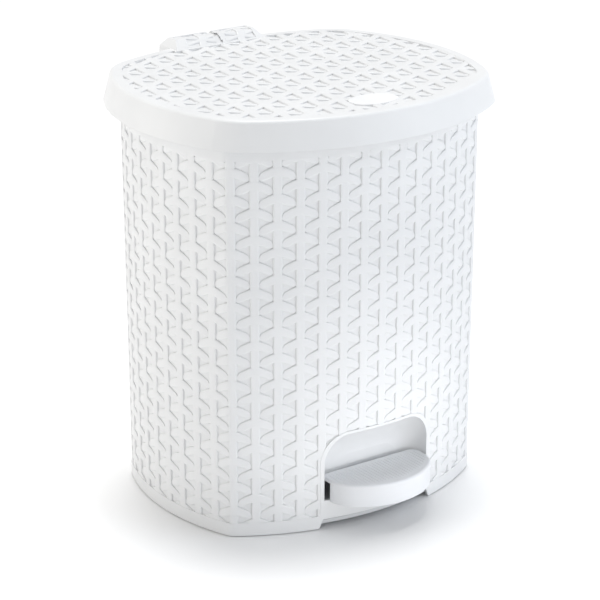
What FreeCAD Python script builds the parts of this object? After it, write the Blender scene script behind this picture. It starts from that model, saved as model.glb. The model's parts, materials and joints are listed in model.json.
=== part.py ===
"""Pedal bin: woven-pattern body, lid on a rear hinge, pedal lever, push rod and lift-out bucket.

Millimetres. X runs to the right, Y from the pedal to the hinge, Z up from the floor under the
bin's middle. Every size lives in the sheet "Sizes"; the pieces are bound to its cells.
"""
import FreeCAD, Part
import math
import os

import Sketcher
from FreeCAD import Placement, Rotation, Vector

SIZES = {
    # body outline: front and back arcs, side arcs and tight corners, growing towards the top
    "body_half_width": 134.3,
    "body_half_depth": 110.8,
    "body_front_arc": 211.7,
    "body_side_arc": 184.7,
    "body_corner": 9.0,
    "body_growth": 2.0,
    "body_wall": 3.0,
    "body_bottom": 0.8,
    "body_top": 333.0,
    "relief": 1.7,
    "weave_bottom": 11.5,
    "weave_top": 306.0,
    # niche over the pedal
    "niche_half_width": 51.0,
    "niche_top": 77.5,
    "niche_sill": 24.5,
    "niche_corner": 22.0,
    "niche_back": 89.0,
    "niche_frame": 2.5,
    "toe_cut_height": 8.5,
    "toe_cut_slant": 4.0,
    "housing_foot": 38.0,
    # lid outline and skirt
    "lid_half_width": 149.8,
    "lid_half_depth": 133.2,
    "lid_front_arc": 204.8,
    "lid_back_arc": 282.2,
    "lid_side_arc": 182.4,
    "lid_corner": 51.8,
    "lid_draft": 6.0,
    "lid_edge": 2.0,
    "lid_wall": 2.5,
    "lid_rim": 9.0,
    "lid_relief": 2.0,
    "lid_plate": 4.0,
    "skirt_bottom": 317.5,
    "lid_top": 340.0,
    "badge_half_width": 20.0,
    "badge_half_depth": 14.0,
    "badge_front": 96.0,
    # raised cover over the hinge, part of the lid
    "hump_half_width": 43.0,
    "hump_top_half_width": 38.0,
    "hump_front": 112.0,
    "hump_rear": 140.0,
    "hump_crest": 121.5,
    "hump_top": 346.5,
    "hump_wall": 2.5,
    "hump_relief": 1.2,
    "hump_margin": 3.0,
    "hump_keep_half": 45.0,
    "notch_half_width": 2.5,
    "notch_depth": 2.0,
    # rear hinge
    "hinge_back": 122.5,
    "hinge_height": 322.0,
    "hinge_boss": 5.5,
    "hinge_pin_radius": 2.0,
    "ear_inner": 29.0,
    "ear_width": 5.0,
    "knuckle_inner": 22.4,
    "knuckle_width": 6.0,
    "running_gap": 0.05,
    "press_gap": 0.02,
    # pedal and its lever
    "pedal_half_width": 47.0,
    "pedal_corner": 28.0,
    "pedal_front_arc": 58.0,
    "pedal_rear_corner": 8.0,
    "pedal_edge": 2.2,
    "pedal_front": 140.0,
    "pedal_rear": 93.5,
    "pedal_top": 42.0,
    "pedal_skirt_bottom": 24.0,
    "pedal_wall": 2.5,
    "tread_pin_radius": 2.0,
    "tread_pin_back": 5.5,
    "tread_pin_drop": 4.5,
    "cheek_inner": 11.3,
    "cheek_thick": 2.7,
    "lever_width": 22.0,
    "axle_front": 35.0,
    "axle_height": 18.0,
    "axle_radius": 3.0,
    "bush_radius": 5.0,
    "axle_ear_inner": 18.0,
    "axle_ear_width": 6.0,
    "clip_place": 25.8,
    # push rod and the crank it lifts
    "rod_radius": 2.0,
    "rod_back": 102.5,
    "rod_foot_height": 12.5,
    "rod_foot_bend": 4.0,
    "rod_foot_end": 13.5,
    "rod_top": 300.0,
    "guide_low": 110.0,
    "guide_high": 240.0,
    "guide_thick": 8.0,
    "crank_radius": 22.0,
    "crank_angle": 35.0,
    "crank_pin_radius": 2.5,
    "crank_cheek_inner": 4.7,
    "crank_cheek_thick": 3.0,
    "crank_slot_half": 9.5,
    "crank_slot_reach": 6.0,
    # base
    "plate_bottom": 3.5,
    "plate_thick": 3.0,
    "post_radius": 7.5,
    "post_side": 109.5,
    "post_depth": 69.0,
    "post_height": 34.0,
    "screw_radius": 1.5,
    "screw_length": 15.5,
    "screw_head": 1.8,
    "foot_radius": 9.0,
    "foot_side": 88.0,
    "foot_depth": 58.0,
    # lift-out bucket and its wire handle
    "bucket_half_width": 126.0,
    "bucket_half_depth": 95.0,
    "bucket_front_arc": 200.0,
    "bucket_side_arc": 170.0,
    "bucket_corner": 30.0,
    "bucket_shift": 3.0,
    "bucket_taper": 20.0,
    "bucket_wall": 1.8,
    "bucket_bottom": 50.0,
    "bucket_floor": 2.0,
    "flange_thick": 2.0,
    "flange_notch_half": 16.0,
    "bail_radius": 1.75,
    "bail_height": 325.0,
    "bail_half_width": 112.0,
    "bail_reach": 74.0,
    "bail_corner": 55.0,
    "bail_bend": 5.0,
    "bail_end": 12.0,
    "bail_rest_inner": 46.0,
    "bail_rest_width": 6.0,
    "grip_radius": 4.5,
    "grip_half_length": 35.0,
}

doc = FreeCAD.newDocument("PedalBin")
sheet = doc.addObject("Spreadsheet::Sheet", "Sizes")
for row, (alias, number) in enumerate(SIZES.items(), start=1):
    sheet.set(f"A{row}", alias)
    sheet.set(f"B{row}", str(number))
    sheet.setAlias(f"B{row}", alias)
doc.recompute()


class Size:
    """A length with the sheet formula that it comes from."""

    def __init__(self, number, formula):
        self.number = number
        self.formula = formula

    def joined(self, other, sign, number):
        return Size(number, f"({self.formula} {sign} {as_size(other).formula})")

    def __add__(self, other):
        return self.joined(other, "+", self.number + as_size(other).number)

    def __sub__(self, other):
        return self.joined(other, "-", self.number - as_size(other).number)

    def __mul__(self, other):
        return self.joined(other, "*", self.number * as_size(other).number)

    def __truediv__(self, other):
        return self.joined(other, "/", self.number / as_size(other).number)

    def __neg__(self):
        return Size(-self.number, f"(0 - {self.formula})")


def as_size(value):
    """A plain number is a size too."""
    return value if isinstance(value, Size) else Size(float(value), repr(float(value)))


def cell(alias):
    """The size held in one cell of the sheet."""
    return Size(SIZES[alias], f"Sizes.{alias}")


def bind(thing, **sizes):
    """Ties properties of an object to the sheet."""
    for name, size in sizes.items():
        thing.setExpression(name, as_size(size).formula)


def place(thing, x=0.0, y=0.0, z=0.0, rotation=None):
    """Turns an object and ties its position to the sheet."""
    if rotation is not None:
        thing.Placement = Placement(Vector(0, 0, 0), rotation)
    for axis, size in zip("xyz", (x, y, z)):
        thing.setExpression(f"Placement.Base.{axis}", as_size(size).formula)


TO_X = Rotation(Vector(0, 1, 0), 90)


def cylinder(name, radius, length, x=0.0, y=0.0, z=0.0, rotation=None):
    """A cylinder from its foot point, upright unless it is turned."""
    made = doc.addObject("Part::Cylinder", name)
    bind(made, Radius=radius, Height=length)
    place(made, x, y, z, rotation)
    return made


def pin_across(name, radius, length, y, z, middle=0.0):
    """A cylinder along X, centred on middle."""
    return cylinder(name, radius, length, as_size(middle) - as_size(length) / 2, y, z, TO_X)


def box(name, low, high):
    """A box between two corners."""
    made = doc.addObject("Part::Box", name)
    low = [as_size(value) for value in low]
    high = [as_size(value) for value in high]
    bind(made, Length=high[0] - low[0], Width=high[1] - low[1], Height=high[2] - low[2])
    place(made, *low)
    return made


def across_side(side, inner, width):
    """Low end, high end and middle in X of a block that starts at inner on one side (-1 or 1)."""
    near, far = as_size(inner) * side, (as_size(inner) + width) * side
    low, high = (near, far) if side > 0 else (far, near)
    return low, high, (near + far) / 2


def fuse(name, *things):
    """All the things as one solid."""
    made = doc.addObject("Part::MultiFuse", name)
    made.Shapes = list(things)
    made.Refine = True
    return made


def cut(name, base, *tools):
    """The base less every tool."""
    made = doc.addObject("Part::Cut", name)
    made.Base = base
    made.Tool = tools[0] if len(tools) == 1 else fuse(f"{name}_tools", *tools)
    made.Refine = True
    return made


def new_body(name):
    return doc.addObject("PartDesign::Body", name)


def sketch_in(body, name, role, offset=0.0, shift=0.0):
    """A sketch on a body's own plane, moved along the plane's normal and along its second axis."""
    made = body.newObject("Sketcher::SketchObject", name)
    plane = [f for f in body.Origin.OriginFeatures if f.Role == role][0]
    made.AttachmentSupport = [(plane, "")]
    made.MapMode = "FlatFace"
    made.setExpression("AttachmentOffset.Base.z", as_size(offset).formula)
    made.setExpression("AttachmentOffset.Base.y", as_size(shift).formula)
    return made


def hold(sketch, kind, *rest):
    """Adds a constraint whose last argument is a size from the sheet."""
    size = as_size(rest[-1])
    index = sketch.addConstraint(Sketcher.Constraint(kind, *rest[:-1], size.number))
    sketch.setExpression(f"Constraints[{index}]", size.formula)


def corner_centre(first_centre, first_radius, second_centre, second_radius, corner, outward):
    """Centre of the corner circle that touches two arcs from inside."""
    a = first_radius - corner
    b = second_radius - corner
    span = second_centre - first_centre
    gap = span.Length
    along = (a * a - b * b + gap * gap) / (2 * gap)
    across = math.sqrt(a * a - along * along)
    unit = span / gap
    normal = Vector(-unit.y, unit.x, 0)
    places = [first_centre + unit * along + normal * (across * side) for side in (1, -1)]
    return max(places, key=lambda point: point.dot(outward))


def draw_four_arcs(sketch, half_width, half_depth, front, back, side, corner):
    """A closed outline of four long arcs joined by four tangent corners, fully constrained."""
    w, d, f, b, s, c = (x.number for x in (half_width, half_depth, front, back, side, corner))
    front_centre = Vector(0, f - d, 0)
    back_centre = Vector(0, d - b, 0)
    right_centre = Vector(w - s, 0, 0)
    left_centre = Vector(s - w, 0, 0)
    centres = [
        (front_centre, f),
        (corner_centre(front_centre, f, right_centre, s, c, Vector(1, -1, 0)), c),
        (right_centre, s),
        (corner_centre(back_centre, b, right_centre, s, c, Vector(1, 1, 0)), c),
        (back_centre, b),
        (corner_centre(back_centre, b, left_centre, s, c, Vector(-1, 1, 0)), c),
        (left_centre, s),
        (corner_centre(front_centre, f, left_centre, s, c, Vector(-1, -1, 0)), c),
    ]

    def joint_angle(first, second):
        """Direction from the larger arc's centre to the point where two arcs touch."""
        large, small = (first, second) if first[1] > second[1] else (second, first)
        way = small[0] - large[0]
        return math.atan2(way.y, way.x)

    count = len(centres)
    for i, (centre, radius) in enumerate(centres):
        start = joint_angle(centres[i - 1], centres[i])
        end = joint_angle(centres[i], centres[(i + 1) % count])
        if end < start:
            end += 2 * math.pi
        circle = Part.Circle(centre, Vector(0, 0, 1), radius)
        sketch.addGeometry(Part.ArcOfCircle(circle, start, end), False)
    for i in range(count):
        sketch.addConstraint(Sketcher.Constraint("Tangent", i, 2, (i + 1) % count, 1))
    for i, size in enumerate((front, corner, side, corner, back, corner, side, corner)):
        hold(sketch, "Radius", i, size)
    for i in (0, 4):
        sketch.addConstraint(Sketcher.Constraint("PointOnObject", i, 3, -2))
    for i in (2, 6):
        sketch.addConstraint(Sketcher.Constraint("PointOnObject", i, 3, -1))
    hold(sketch, "DistanceY", -1, 1, 0, 3, front - half_depth)
    hold(sketch, "DistanceY", -1, 1, 4, 3, half_depth - back)
    hold(sketch, "DistanceX", -1, 1, 2, 3, half_width - side)
    hold(sketch, "DistanceX", -1, 1, 6, 3, side - half_width)


def draw_polygon(sketch, points):
    """A closed outline of straight lines, each corner held from the origin."""
    points = [(as_size(x), as_size(y)) for x, y in points]
    count = len(points)
    for i in range(count):
        (x0, y0), (x1, y1) = points[i], points[(i + 1) % count]
        line = Part.LineSegment(Vector(x0.number, y0.number, 0), Vector(x1.number, y1.number, 0))
        sketch.addGeometry(line, False)
    for i in range(count):
        sketch.addConstraint(Sketcher.Constraint("Coincident", i, 2, (i + 1) % count, 1))
    for i, (x, y) in enumerate(points):
        hold(sketch, "DistanceX", -1, 1, i, 1, x)
        hold(sketch, "DistanceY", -1, 1, i, 1, y)


def draw_arch(sketch, half_width, low, high, corner):
    """A flat-bottomed window with rounded upper corners."""
    w, lo, hi, r = (x.number for x in (half_width, low, high, corner))
    lines = [
        (Vector(-w, lo, 0), Vector(w, lo, 0)),
        (Vector(w, lo, 0), Vector(w, hi - r, 0)),
        (Vector(w - r, hi, 0), Vector(r - w, hi, 0)),
        (Vector(-w, hi - r, 0), Vector(-w, lo, 0)),
    ]
    up = Vector(0, 0, 1)
    right_arc = Part.ArcOfCircle(Part.Circle(Vector(w - r, hi - r, 0), up, r), 0, math.pi / 2)
    left_arc = Part.ArcOfCircle(Part.Circle(Vector(r - w, hi - r, 0), up, r), math.pi / 2, math.pi)
    edges = [Part.LineSegment(*lines[0]), Part.LineSegment(*lines[1]), right_arc]
    edges += [Part.LineSegment(*lines[2]), left_arc, Part.LineSegment(*lines[3])]
    for edge in edges:
        sketch.addGeometry(edge, False)
    for first, second in ((0, 1), (5, 0)):
        sketch.addConstraint(Sketcher.Constraint("Coincident", first, 2, second, 1))
    for first, second in ((1, 2), (2, 3), (3, 4), (4, 5)):
        sketch.addConstraint(Sketcher.Constraint("Tangent", first, 2, second, 1))
    for line, kind in ((0, "Horizontal"), (1, "Vertical"), (3, "Horizontal"), (5, "Vertical")):
        sketch.addConstraint(Sketcher.Constraint(kind, line))
    hold(sketch, "DistanceX", -1, 1, 0, 1, -half_width)
    hold(sketch, "DistanceX", -1, 1, 0, 2, half_width)
    hold(sketch, "DistanceY", -1, 1, 0, 1, low)
    hold(sketch, "DistanceY", -1, 1, 3, 1, high)
    hold(sketch, "Radius", 2, corner)
    hold(sketch, "Radius", 4, corner)


def loft(body, name, sketches, ruled=True):
    """A solid through a body's sections."""
    made = body.newObject("PartDesign::AdditiveLoft", name)
    made.Profile = sketches[0]
    made.Sections = sketches[1:]
    made.Ruled = ruled
    return made


def pad(body, name, sketch, length, both_ways=False, reverse=False):
    """A sketch given thickness along its normal."""
    made = body.newObject("PartDesign::Pad", name)
    made.Profile = sketch
    made.Midplane = both_ways
    made.Reversed = reverse
    bind(made, Length=length)
    return made


def pocket(body, name, sketch, length, both_ways=False, reverse=False):
    """Material taken away behind a sketch."""
    made = body.newObject("PartDesign::Pocket", name)
    made.Profile = sketch
    made.Midplane = both_ways
    made.Reversed = reverse
    bind(made, Length=length)
    return made


def round_edges(body, name, radius, wanted):
    """Rounds the edges of a body's last feature whose middle point is wanted."""
    doc.recompute()
    last = body.Tip
    names = []
    for i, edge in enumerate(last.Shape.Edges, start=1):
        middle = edge.valueAt((edge.FirstParameter + edge.LastParameter) / 2)
        if wanted(middle):
            names.append(f"Edge{i}")
    made = body.newObject("PartDesign::Fillet", name)
    made.Base = (last, names)
    bind(made, Radius=radius)
    return made


def prism_x(name, points, low, high):
    """A side profile in Y and Z, given thickness in X from low to high."""
    body = new_body(name)
    profile = sketch_in(body, f"{name}_profile", "YZ_Plane", low)
    draw_polygon(profile, points)
    pad(body, f"{name}_pad", profile, as_size(high) - low)
    return body


def ring_x(name, outer, inner, length, y, z, middle):
    """A washer-shaped ring round an X axis."""
    whole = pin_across(f"{name}_disc", outer, length, y, z, middle)
    hole = pin_across(f"{name}_hole", inner, as_size(length) + 2, y, z, middle)
    return cut(name, whole, hole)


# ---------------------------------------------------------------- outlines

def body_inset(height, extra):
    """How far the body's outline lies inside its foot outline at a height."""
    rise = (height - cell("body_bottom")) / (cell("body_top") - cell("body_bottom"))
    return as_size(extra) - cell("body_growth") * rise


def body_section(body, name, height, extra):
    """The body's outline at a height, moved inwards by extra."""
    inset = body_inset(height, extra)
    made = sketch_in(body, name, "XY_Plane", height)
    front = cell("body_front_arc") - inset
    draw_four_arcs(
        made,
        cell("body_half_width") - inset,
        cell("body_half_depth") - inset,
        front,
        front,
        cell("body_side_arc") - inset,
        cell("body_corner") - inset,
    )
    return made


def body_block(name, low, high, extra):
    """The body's outline, moved inwards by extra, between two heights."""
    body = new_body(name)
    sections = [body_section(body, f"{name}_low", low, extra)]
    sections.append(body_section(body, f"{name}_high", high, extra))
    loft(body, f"{name}_loft", sections)
    return body


def lid_section(body, name, height, inset):
    """The lid's outline at a height, moved inwards by inset."""
    made = sketch_in(body, name, "XY_Plane", height)
    inset = as_size(inset)
    draw_four_arcs(
        made,
        cell("lid_half_width") - inset,
        cell("lid_half_depth") - inset,
        cell("lid_front_arc") - inset,
        cell("lid_back_arc") - inset,
        cell("lid_side_arc") - inset,
        cell("lid_corner") - inset,
    )
    return made


def bucket_section(body, name, height, extra):
    """The bucket's tapering outline at a height, moved inwards by extra."""
    depth = (cell("body_top") - height) / (cell("body_top") - cell("bucket_bottom"))
    inset = as_size(extra) + cell("bucket_taper") * depth
    made = sketch_in(body, name, "XY_Plane", height, -cell("bucket_shift"))
    front = cell("bucket_front_arc") - inset
    draw_four_arcs(
        made,
        cell("bucket_half_width") - inset,
        cell("bucket_half_depth") - inset,
        front,
        front,
        cell("bucket_side_arc") - inset,
        cell("bucket_corner") - inset,
    )
    return made


def niche_shape(name, sill, extra):
    """The scoop over the pedal, grown by extra: wide in front, smaller and lower at its back."""
    body = new_body(name)
    grown = as_size(extra)
    half = cell("niche_half_width") + grown
    top = cell("niche_top") + grown
    corner = cell("niche_corner") + grown
    front = cell("body_half_depth") + 4
    back = cell("niche_back") - grown
    depths = (
        (front, half, top, corner),
        (back + 12, half - 1.5, top - 3, corner),
        (back + 5, half - 4.5, top - 10, corner - 2),
        (back, half - 19, top - 27, corner - 8),
    )
    sections = []
    for i, (depth, width, high, rounding) in enumerate(depths):
        section = sketch_in(body, f"{name}_{i}", "XZ_Plane", depth)
        draw_arch(section, width, as_size(sill), high, rounding)
        sections.append(section)
    loft(body, f"{name}_loft", sections, ruled=False)
    return body


# ---------------------------------------------------------------- fixed pieces

def make_outer_body():
    """Moulded body: open tube with the woven zone set back, niche, hinge ears and screw posts."""
    bottom, top = cell("body_bottom"), cell("body_top")
    outside = body_block("body_outside", bottom, top, 0)
    inside = body_block("body_inside", bottom - 1, top + 1, cell("body_wall"))
    housing = niche_shape("niche_housing", cell("housing_foot"), cell("body_wall"))
    hollow = cut("body_hollow", inside, housing)
    scoop = niche_shape("niche_scoop", cell("niche_sill"), 0)

    around = body_block("weave_around", cell("weave_bottom"), cell("weave_top"), -4)
    ground = body_block("weave_ground", cell("weave_bottom"), cell("weave_top"), cell("relief"))
    frame = new_body("niche_frame_block")
    window = sketch_in(frame, "niche_frame_window", "XZ_Plane", 90)
    margin = cell("niche_frame")
    draw_arch(
        window,
        cell("niche_half_width") + margin,
        as_size(0),
        cell("niche_top") + margin,
        cell("niche_corner") + margin,
    )
    pad(frame, "niche_frame_pad", window, 40)
    recess = cut("weave_recess", around, ground, frame)

    toe = new_body("toe_cut")
    step = sketch_in(toe, "toe_cut_step", "XZ_Plane", 95)
    half = cell("niche_half_width")
    high, slant = cell("toe_cut_height"), cell("toe_cut_slant")
    draw_polygon(step, [(-half - slant, -1), (half + slant, -1), (half, high), (-half, high)])
    pad(toe, "toe_cut_pad", step, 30)

    posts, holes = [], []
    for side in (-1, 1):
        for end in (-1, 1):
            x, y = cell("post_side") * side, cell("post_depth") * end
            name = f"post_{'right' if side > 0 else 'left'}_{'rear' if end > 0 else 'front'}"
            base = cell("plate_bottom") + cell("plate_thick")
            posts.append(cylinder(name, cell("post_radius"), cell("post_height"), x, y, base))
            hole = cell("screw_radius") + cell("running_gap")
            holes.append(cylinder(f"{name}_hole", hole, cell("screw_length") + 2.5, x, y, base - 1))

    half, reach = cell("crank_slot_half"), cell("crank_slot_reach")
    crank_gap = box(
        "crank_gap",
        (-half, cell("body_half_depth") - reach, cell("hinge_height") - reach),
        (half, cell("body_half_depth") + reach, top + 1),
    )
    shell = cut("body_shell", outside, hollow, scoop, recess, toe, crank_gap)
    ears, bores = [], []
    y, z = cell("hinge_back"), cell("hinge_height")
    boss = cell("hinge_boss")
    bore = cell("hinge_pin_radius") + cell("press_gap")
    for side, label in ((-1, "left"), (1, "right")):
        low, high, middle = across_side(side, cell("ear_inner"), cell("ear_width"))
        web = [
            (cell("body_half_depth") - 0.5, z - 26),
            (y + boss * 0.75, z - boss * 0.661),
            (y, z + boss),
            (cell("body_half_depth") - 0.5, z + boss),
        ]
        ears.append(prism_x(f"ear_web_{label}", web, low, high))
        ears.append(pin_across(f"ear_boss_{label}", boss, cell("ear_width"), y, z, middle))
        bores.append(pin_across(f"ear_bore_{label}", bore, cell("ear_width") + 4, y, z, middle))
    return cut("outer_body", fuse("body_with_ears", shell, *posts, *ears), *holes, *bores)


def make_base_plate():
    """Bottom plate inside the body, with two ears for the lever's axle and four screw holes."""
    plate = new_body("base_sheet")
    section = body_section(plate, "base_outline", cell("plate_bottom"), cell("body_wall") + 0.4)
    pad(plate, "base_pad", section, cell("plate_thick"))
    top = cell("plate_bottom") + cell("plate_thick")
    y, z = -cell("axle_front"), cell("axle_height")
    adds, cuts = [], []
    for side, label in ((-1, "left"), (1, "right")):
        low, high, middle = across_side(side, cell("axle_ear_inner"), cell("axle_ear_width"))
        ear = [(y - 11, top - 0.5), (y + 11, top - 0.5), (y + 7.5, z + 7.5), (y - 7.5, z + 7.5)]
        adds.append(prism_x(f"axle_ear_{label}", ear, low, high))
        bore = cell("bush_radius") + cell("press_gap")
        cuts.append(pin_across(f"axle_ear_bore_{label}", bore, cell("axle_ear_width") + 3, y, z, middle))
        for end in (-1, 1):
            x, depth = cell("post_side") * side, cell("post_depth") * end
            name = f"base_hole_{label}_{'rear' if end > 0 else 'front'}"
            hole = cell("screw_radius") + 0.3
            cuts.append(cylinder(name, hole, cell("plate_thick") + 3, x, depth, cell("plate_bottom") - 1))
    return cut("base_plate", fuse("base_with_ears", plate, *adds), *cuts)


def make_base_screws():
    """Four self-tapping screws that hold the base plate to the posts."""
    screws = []
    for side in (-1, 1):
        for end in (-1, 1):
            x, y = cell("post_side") * side, cell("post_depth") * end
            name = f"screw_{side + 1}{end + 1}"
            under = cell("plate_bottom")
            head = cylinder(f"{name}_head", 3.2, cell("screw_head"), x, y, under - cell("screw_head"))
            shank = cylinder(f"{name}_shank", cell("screw_radius"), cell("screw_length"), x, y, under - 0.5)
            screws.append(fuse(name, head, shank))
    group = doc.addObject("Part::Compound", "base_screws")
    group.Links = screws
    return group


def make_feet():
    """Four round rubber pads under the base plate."""
    feet = []
    for side, across in ((-1, "left"), (1, "right")):
        for end, along in ((-1, "front"), (1, "rear")):
            x, y = cell("foot_side") * side, cell("foot_depth") * end
            name = f"foot_{along}_{across}"
            feet.append(cylinder(name, cell("foot_radius"), cell("plate_bottom"), x, y, 0))
    return feet


def make_axle_parts():
    """Steel axle of the lever, its two flanged bushes and its two open clips."""
    y, z = -cell("axle_front"), cell("axle_height")
    rod = pin_across("axle_rod", cell("axle_radius"), 56, y, z)
    width, flange_thick = cell("axle_ear_width"), 1.2
    made = []
    grooves = []
    for side, label in ((-1, "left"), (1, "right")):
        _, _, middle = across_side(side, cell("axle_ear_inner"), width)
        _, _, flange_middle = across_side(side, cell("axle_ear_inner") - flange_thick, flange_thick)
        clip = cell("clip_place") * side
        grooves.append(ring_x(f"axle_groove_{label}", 4, 2.4, 1.3, y, z, clip))
        sleeve = pin_across(f"bush_sleeve_{label}", cell("bush_radius"), width, y, z, middle)
        flange = pin_across(f"bush_flange_{label}", 7, flange_thick, y, z, flange_middle)
        bore = pin_across(f"bush_bore_{label}", cell("axle_radius") + 0.03, width * 2, y, z, middle)
        made.append(cut(f"axle_bush_{label}", fuse(f"bush_whole_{label}", sleeve, flange), bore))
        ring = ring_x(f"clip_ring_{label}", 6, 2.45, 1.1, y, z, clip)
        mouth = box(f"clip_mouth_{label}", (clip - 2, y - 1.9, z - 8), (clip + 2, y + 1.9, z))
        made.append(cut(f"axle_clip_{label}", ring, mouth))
    made.append(cut("pedal_axle", rod, *grooves))
    return made


def make_rod_guides():
    """Two moulded loops on the rear wall that keep the push rod upright."""
    made = []
    y, high = cell("rod_back"), cell("guide_thick")
    gap_half = cell("rod_radius") + 0.7
    for label, z in (("lower", cell("guide_low")), ("upper", cell("guide_high"))):
        wall = cell("body_half_depth") - body_inset(z, cell("body_wall")) - 0.1
        block = box(f"guide_block_{label}", (-7, y - 6, z), (7, wall, z + high))
        gap = box(f"guide_gap_{label}", (-gap_half, y - 3.8, z - 1), (gap_half, y + gap_half, z + high + 1))
        made.append(cut(f"rod_guide_{label}", block, gap))
    return made


def make_hinge_pins():
    """Two headed steel pins, each through a body ear and a lid knuckle."""
    made = []
    y, z = cell("hinge_back"), cell("hinge_height")
    for side, label in ((-1, "left"), (1, "right")):
        shank = pin_across(f"hinge_shank_{label}", cell("hinge_pin_radius"), 14, y, z, 28 * side)
        head = pin_across(f"hinge_head_{label}", 3.8, 1.6, y, z, 35.2 * side)
        made.append(fuse(f"hinge_pin_{label}", shank, head))
    return made


# ---------------------------------------------------------------- pedal and linkage

def tread_pin_place():
    """Where the cross pin passes through the tread's cheeks, in Y and Z."""
    plate = cell("pedal_top") - cell("pedal_wall")
    return -cell("pedal_rear") - cell("tread_pin_back"), plate - cell("tread_pin_drop")


def make_pedal():
    """D-shaped tread with a front skirt, open below, and two cheeks that hold the lever."""
    body = new_body("pedal_cup")
    sketch = sketch_in(body, "pedal_outline", "XY_Plane", cell("pedal_skirt_bottom"))
    draw_tread(sketch, 0)
    height = cell("pedal_top") - cell("pedal_skirt_bottom")
    pad(body, "pedal_pad", sketch, height)
    round_edges(body, "pedal_rear_corners", cell("pedal_rear_corner"), on_rear_corner)
    round_edges(body, "pedal_round", cell("pedal_edge"), on_upper_rim)
    under = sketch_in(body, "pedal_under", "XY_Plane", cell("pedal_skirt_bottom"))
    draw_tread(under, cell("pedal_wall"))
    pocket(body, "pedal_hollow", under, height - cell("pedal_wall"), reverse=True)

    half, plate = cell("pedal_half_width"), cell("pedal_top") - cell("pedal_wall")
    wall_line = cell("body_half_depth") - 3
    behind = box("pedal_behind", (-half - 5, -wall_line, 10), (half + 5, -80, plate))
    y_pin, z_pin = tread_pin_place()
    cheeks = []
    for side, label in ((-1, "left"), (1, "right")):
        low, high, _ = across_side(side, cell("cheek_inner"), cell("cheek_thick"))
        cheek = [
            (y_pin - 4.5, plate - 9.5),
            (y_pin + 4.0, plate - 9.5),
            (y_pin + 4.5, plate + 0.5),
            (y_pin - 4.5, plate + 0.5),
        ]
        cheeks.append(prism_x(f"pedal_cheek_{label}", cheek, low, high))
    bore = pin_across("pedal_pin_bore", cell("tread_pin_radius") + cell("press_gap"), 40, y_pin, z_pin)
    whole = fuse("pedal_with_cheeks", cut("pedal_open", body, behind), *cheeks)
    return cut("pedal", whole, bore)


def draw_tread(sketch, inset):
    """Straight back edge, straight sides, corner arcs and one long front arc, all tangent."""
    inset = as_size(inset)
    half = cell("pedal_half_width") - inset
    rear = -cell("pedal_rear") - inset
    front = -cell("pedal_front") + inset
    corner = cell("pedal_corner") - inset
    long_arc = cell("pedal_front_arc") - inset
    w, back, nose, c, r = (x.number for x in (half, rear, front, corner, long_arc))
    nose_centre = Vector(0, nose + r, 0)
    side_x = w - c
    drop = math.sqrt((r - c) ** 2 - side_x**2)
    right = Vector(side_x, nose_centre.y - drop, 0)
    left = Vector(-side_x, right.y, 0)
    touch_right = math.atan2(right.y - nose_centre.y, right.x)
    touch_left = math.atan2(left.y - nose_centre.y, left.x)
    up = Vector(0, 0, 1)
    sketch.addGeometry(Part.LineSegment(Vector(w, back, 0), Vector(-w, back, 0)), False)
    sketch.addGeometry(Part.LineSegment(Vector(-w, back, 0), Vector(-w, left.y, 0)), False)
    for centre, radius, start, end in (
        (left, c, math.pi, touch_left + 2 * math.pi),
        (nose_centre, r, touch_left, touch_right),
        (right, c, touch_right, 0),
    ):
        sketch.addGeometry(Part.ArcOfCircle(Part.Circle(centre, up, radius), start, end), False)
    sketch.addGeometry(Part.LineSegment(Vector(w, right.y, 0), Vector(w, back, 0)), False)
    for first, second in ((0, 1), (5, 0)):
        sketch.addConstraint(Sketcher.Constraint("Coincident", first, 2, second, 1))
    for first, second in ((1, 2), (2, 3), (3, 4), (4, 5)):
        sketch.addConstraint(Sketcher.Constraint("Tangent", first, 2, second, 1))
    sketch.addConstraint(Sketcher.Constraint("Horizontal", 0))
    sketch.addConstraint(Sketcher.Constraint("Vertical", 1))
    sketch.addConstraint(Sketcher.Constraint("Vertical", 5))
    hold(sketch, "DistanceX", -1, 1, 0, 1, half)
    hold(sketch, "DistanceX", -1, 1, 0, 2, -half)
    hold(sketch, "DistanceY", -1, 1, 0, 1, rear)
    hold(sketch, "Radius", 2, corner)
    hold(sketch, "Radius", 3, long_arc)
    hold(sketch, "Radius", 4, corner)
    hold(sketch, "DistanceY", -1, 1, 3, 3, front + long_arc)
    sketch.addConstraint(Sketcher.Constraint("PointOnObject", 3, 3, -2))


def on_rear_corner(point):
    """The two upright edges at the back of the tread."""
    middle = (SIZES["pedal_top"] + SIZES["pedal_skirt_bottom"]) / 2
    return abs(point.y + SIZES["pedal_rear"]) < 0.01 and abs(point.z - middle) < 0.01


def on_upper_rim(point):
    """The pedal's upper edge, all round."""
    return abs(point.z - SIZES["pedal_top"]) < 0.01


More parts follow.
